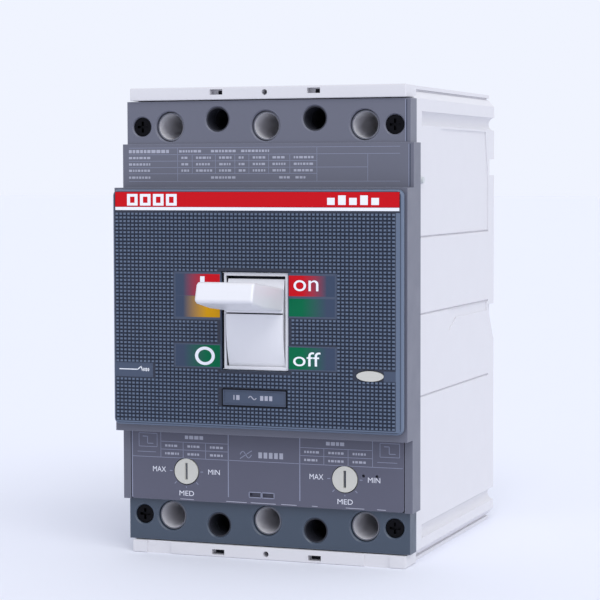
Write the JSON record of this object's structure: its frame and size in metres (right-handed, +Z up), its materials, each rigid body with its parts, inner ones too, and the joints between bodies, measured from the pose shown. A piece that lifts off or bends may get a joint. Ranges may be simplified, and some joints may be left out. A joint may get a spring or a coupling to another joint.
{
  "type": "molded case breaker",
  "caption": "Molded case circuit breaker with a toggle lever in a front window, a trip test button, setting dials and pad terminals at both ends.",
  "frame": {"origin": "centre of the rear mounting face", "axes": "+Z up as installed, the front with the lever faces -Y, +X to the right seen from the front"},
  "size_m": [0.1046, 0.1462, 0.16],
  "materials": {
    "light_grey_plastic": "matte moulded thermoset, light grey",
    "grey_plastic": "satin moulded plastic, blue-grey",
    "dark_blue_plastic": "satin moulded plastic, dark slate blue",
    "white_plastic": "smooth moulded plastic, white",
    "cream_plastic": "smooth moulded plastic, cream",
    "dark_plastic": "matte moulded plastic, near black",
    "red_film": "printed film, red",
    "black_steel": "blackened steel",
    "zinc_steel": "zinc-plated steel",
    "spring_steel": "bright spring wire",
    "plated_copper": "tin-plated copper",
    "copper": "bare copper",
    "silver_alloy": "sintered silver contact alloy",
    "fibre_board": "red-brown arc board with steel plates",
    "bimetal_strip": "rolled bimetal",
    "brown_phenolic": "dark brown moulded phenolic"
  },
  "bodies": {
    "case": {"base_housing": "light_grey_plastic", "main_cover": "grey_plastic", "fascia_cover": "dark_blue_plastic", "stripe_label": "red_film", "rating_badge": "dark_blue_plastic", "window_bezel": "white_plastic", "trip_unit_panel": "grey_plastic", "cover_screw_1": "black_steel", "cover_screw_2": "black_steel", "cover_screw_3": "black_steel", "cover_screw_4": "black_steel", "line_terminal_1": "plated_copper", "load_terminal_1": "plated_copper", "line_screw_1": "zinc_steel", "load_screw_1": "zinc_steel", "fixed_contact_1": "silver_alloy", "arc_chute_1": "fibre_board", "bimetal_1": "bimetal_strip", "magnet_yoke_1": "zinc_steel", "line_terminal_2": "plated_copper", "load_terminal_2": "plated_copper", "line_screw_2": "zinc_steel", "load_screw_2": "zinc_steel", "fixed_contact_2": "silver_alloy", "arc_chute_2": "fibre_board", "bimetal_2": "bimetal_strip", "magnet_yoke_2": "zinc_steel", "line_terminal_3": "plated_copper", "load_terminal_3": "plated_copper", "line_screw_3": "zinc_steel", "load_screw_3": "zinc_steel", "fixed_contact_3": "silver_alloy", "arc_chute_3": "fibre_board", "bimetal_3": "bimetal_strip", "magnet_yoke_3": "zinc_steel", "mechanism_plate_left": "zinc_steel", "mechanism_plate_right": "zinc_steel"},
    "handle": {"handle_lever": "white_plastic", "handle_shutter": "dark_plastic", "handle_frame": "zinc_steel", "main_spring_left": "spring_steel", "main_spring_right": "spring_steel"},
    "contacts": {"contact_crossbar": "brown_phenolic", "contact_arm_1": "copper", "contact_arm_2": "copper", "contact_arm_3": "copper", "moving_contact_1": "silver_alloy", "moving_contact_2": "silver_alloy", "moving_contact_3": "silver_alloy"},
    "upper_toggle": {"upper_link": "zinc_steel", "toggle_pin": "zinc_steel"},
    "lower_toggle": {"lower_link": "zinc_steel"},
    "latch_lever": {"latch": "zinc_steel"},
    "tripper": {"trip_bar": "dark_plastic"},
    "button": {"test_button": "cream_plastic"},
    "thermal_setting": {"thermal_dial": "cream_plastic"},
    "magnetic_setting": {"magnetic_dial": "cream_plastic"}
  },
  "joints": [
    {"name": "handle_swing", "type": "hinge", "parent": "case", "child": "handle", "pos_m": [0, -0.073, 0.0018], "axis": [1, 0, 0], "range_deg": [0, 21]},
    {"name": "contact_bar_turn", "type": "hinge", "parent": "case", "child": "contacts", "pos_m": [0, -0.062, -0.008], "axis": [1, 0, 0], "range_deg": [0, 30.1]},
    {"name": "upper_link_turn", "type": "hinge", "parent": "case", "child": "upper_toggle", "pos_m": [0, -0.09, 0.011], "axis": [1, 0, 0], "range_deg": [-15.42, 0]},
    {"name": "lower_link_turn", "type": "hinge", "parent": "upper_toggle", "child": "lower_toggle", "pos_m": [0, -0.0755, -0.00278], "axis": [1, 0, 0], "range_deg": [0, 30.91]},
    {"name": "test_button_press", "type": "slide", "parent": "case", "child": "button", "axis": [0, 1, 0], "range_m": [0, 0.002], "stiffness_N_per_m": 800},
    {"name": "trip_bar_turn", "type": "hinge", "parent": "case", "child": "tripper", "pos_m": [0, -0.089, -0.03], "axis": [-1, 0, 0], "range_deg": [0, 9.1]},
    {"name": "latch_turn", "type": "hinge", "parent": "case", "child": "latch_lever", "pos_m": [0, -0.092, -0.015], "axis": [1, 0, 0], "range_deg": [0, 5.1]},
    {"name": "thermal_dial_turn", "type": "hinge", "parent": "case", "child": "thermal_setting", "pos_m": [-0.0287, -0.11, -0.0509], "axis": [0, -1, 0], "range_deg": [-90, 90]},
    {"name": "magnetic_dial_turn", "type": "hinge", "parent": "case", "child": "magnetic_setting", "pos_m": [0.0287, -0.11, -0.0509], "axis": [0, -1, 0], "range_deg": [-90, 90]}
  ],
  "couplings": [
    {"joint": "contact_bar_turn", "follows": "handle_swing", "ratio": 1.4286},
    {"joint": "upper_link_turn", "follows": "handle_swing", "ratio": -0.72952},
    {"joint": "lower_link_turn", "follows": "handle_swing", "ratio": 1.4671},
    {"joint": "trip_bar_turn", "follows": "test_button_press", "rad_per_m": 78.54},
    {"joint": "latch_turn", "follows": "test_button_press", "rad_per_m": 43.633}
  ]
}
